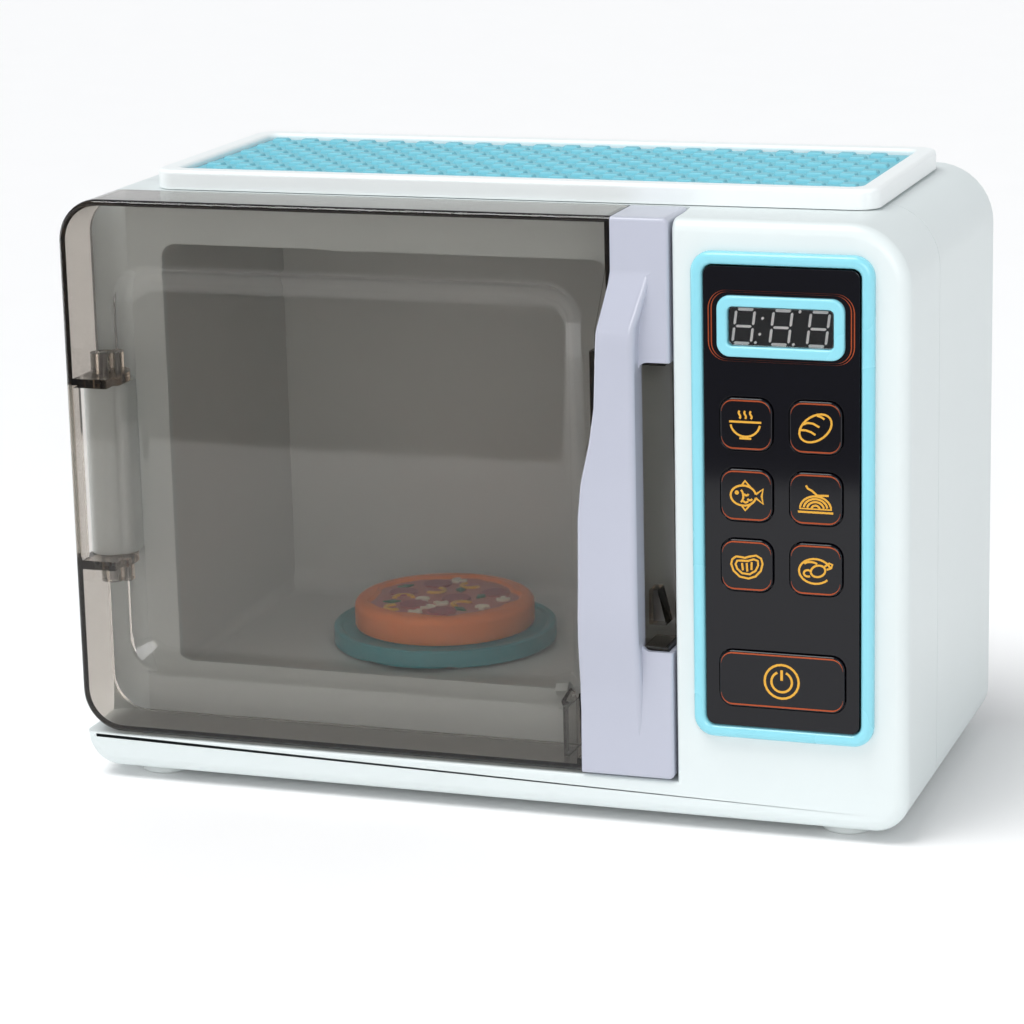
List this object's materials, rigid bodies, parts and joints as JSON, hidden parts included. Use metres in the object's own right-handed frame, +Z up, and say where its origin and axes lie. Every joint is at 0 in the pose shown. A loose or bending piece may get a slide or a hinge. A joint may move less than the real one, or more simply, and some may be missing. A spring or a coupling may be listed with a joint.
{
  "type": "toy microwave oven",
  "caption": "Play microwave oven with a swinging see-through door, bowed grip, picture keys that press in, lit display and a gear-driven turntable carrying a toy pizza.",
  "frame": {"origin": "on the surface the feet stand on, at the middle of the object's width and depth", "axes": "+X to the right seen from the front, +Y towards the back, +Z up; the door and keys face -Y"},
  "size_m": [0.3, 0.15, 0.216],
  "materials": {
    "housing_white": "glossy moulded white plastic",
    "door_smoke": "glossy see-through smoked plastic",
    "handle_lavender": "satin lavender grey plastic",
    "bezel_blue": "glossy light blue plastic",
    "top_blue": "satin sky blue plastic",
    "panel_black": "mirror-glossy black plastic with printed copper lines",
    "key_black": "glossy black plastic with printed gold and copper icons",
    "liner_grey": "satin mid-grey plastic",
    "teal": "satin teal plastic",
    "food": "satin painted plastic",
    "clear": "polished clear plastic",
    "display": "dark display block with lit segments",
    "rubber": "matt grey rubber",
    "board": "green solder mask on laminate",
    "acetal": "natural satin plastic",
    "inner_grey": "matt dark grey plastic",
    "cell": "printed sleeve over steel can",
    "steel": "bright zinc-plated steel"
  },
  "bodies": {
    "housing": {"front_housing": "housing_white", "rear_housing": "housing_white", "top_frame": "housing_white", "top_grille": "top_blue", "foot_front_left": "rubber", "foot_front_right": "rubber", "foot_rear_left": "rubber", "foot_rear_right": "rubber", "cavity_liner": "liner_grey", "hinge_pin_upper": "steel", "hinge_pin_lower": "steel", "catch_striker": "housing_white", "panel_bezel": "bezel_blue", "panel_plate": "panel_black", "display_frame": "bezel_blue", "display_lens": "clear", "led_display": "display", "key_mat": "rubber", "circuit_board": "board", "idler_axle": "steel", "gear_motor": "steel", "gearbox_case": "inner_grey", "gearbox_cover": "inner_grey", "speaker": "inner_grey", "lamp_lens": "clear", "lamp_led": "acetal", "battery_box": "inner_grey", "contact_left": "steel", "contact_right": "steel", "battery_cell_1": "cell", "battery_cell_2": "cell", "battery_cell_3": "cell", "housing_screw_1": "steel", "housing_screw_2": "steel", "housing_screw_3": "steel", "housing_screw_4": "steel", "housing_screw_5": "steel", "housing_screw_6": "steel"},
    "door": {"door_shell": "door_smoke", "door_handle": "handle_lavender"},
    "soup_button": {"key_soup": "key_black"},
    "bread_button": {"key_bread": "key_black"},
    "fish_button": {"key_fish": "key_black"},
    "dish_button": {"key_dish": "key_black"},
    "steak_button": {"key_steak": "key_black"},
    "roast_button": {"key_roast": "key_black"},
    "power_button": {"power_key": "key_black"},
    "turning_table": {"turntable": "teal", "drive_spindle": "acetal", "output_gear": "acetal"},
    "idler": {"idler_gear": "acetal"},
    "pinion": {"motor_pinion": "acetal"},
    "pizza": {"toy_pizza": "food"},
    "cover": {"battery_cover": "housing_white", "battery_cover_screw": "steel"}
  },
  "joints": [
    {"name": "door_hinge", "type": "hinge", "parent": "housing", "child": "door", "pos_m": [-0.1425, -0.052, 0.111], "axis": [0, 0, -1], "range_deg": [0, 95]},
    {"name": "soup_press", "type": "slide", "parent": "housing", "child": "soup_button", "axis": [0, 1, 0], "range_m": [0, 0.0012], "stiffness_N_per_m": 400},
    {"name": "bread_press", "type": "slide", "parent": "housing", "child": "bread_button", "axis": [0, 1, 0], "range_m": [0, 0.0012], "stiffness_N_per_m": 400},
    {"name": "fish_press", "type": "slide", "parent": "housing", "child": "fish_button", "axis": [0, 1, 0], "range_m": [0, 0.0012], "stiffness_N_per_m": 400},
    {"name": "dish_press", "type": "slide", "parent": "housing", "child": "dish_button", "axis": [0, 1, 0], "range_m": [0, 0.0012], "stiffness_N_per_m": 400},
    {"name": "steak_press", "type": "slide", "parent": "housing", "child": "steak_button", "axis": [0, 1, 0], "range_m": [0, 0.0012], "stiffness_N_per_m": 400},
    {"name": "roast_press", "type": "slide", "parent": "housing", "child": "roast_button", "axis": [0, 1, 0], "range_m": [0, 0.0012], "stiffness_N_per_m": 400},
    {"name": "power_press", "type": "slide", "parent": "housing", "child": "power_button", "axis": [0, 1, 0], "range_m": [0, 0.0012], "stiffness_N_per_m": 400},
    {"name": "turntable_spin", "type": "hinge", "parent": "housing", "child": "turning_table", "pos_m": [-0.04, 0.011, 0.038], "axis": [0, 0, 1], "continuous": true},
    {"name": "idler_spin", "type": "hinge", "parent": "housing", "child": "idler", "pos_m": [-0.02382, 0.011, 0.026], "axis": [0, 0, 1], "continuous": true},
    {"name": "pinion_spin", "type": "hinge", "parent": "housing", "child": "pinion", "pos_m": [-0.00924, 0.011, 0.024], "axis": [0, 0, 1], "continuous": true},
    {"name": "pizza_lift", "type": "slide", "parent": "turning_table", "child": "pizza", "axis": [0, 0, 1], "range_m": [0, 0.06]},
    {"name": "battery_cover_pull", "type": "slide", "parent": "housing", "child": "cover", "axis": [0, 1, 0], "range_m": [0, 0.04]}
  ],
  "couplings": [
    {"joint": "idler_spin", "follows": "turntable_spin", "ratio": -4},
    {"joint": "pinion_spin", "follows": "turntable_spin", "ratio": 14}
  ]
}
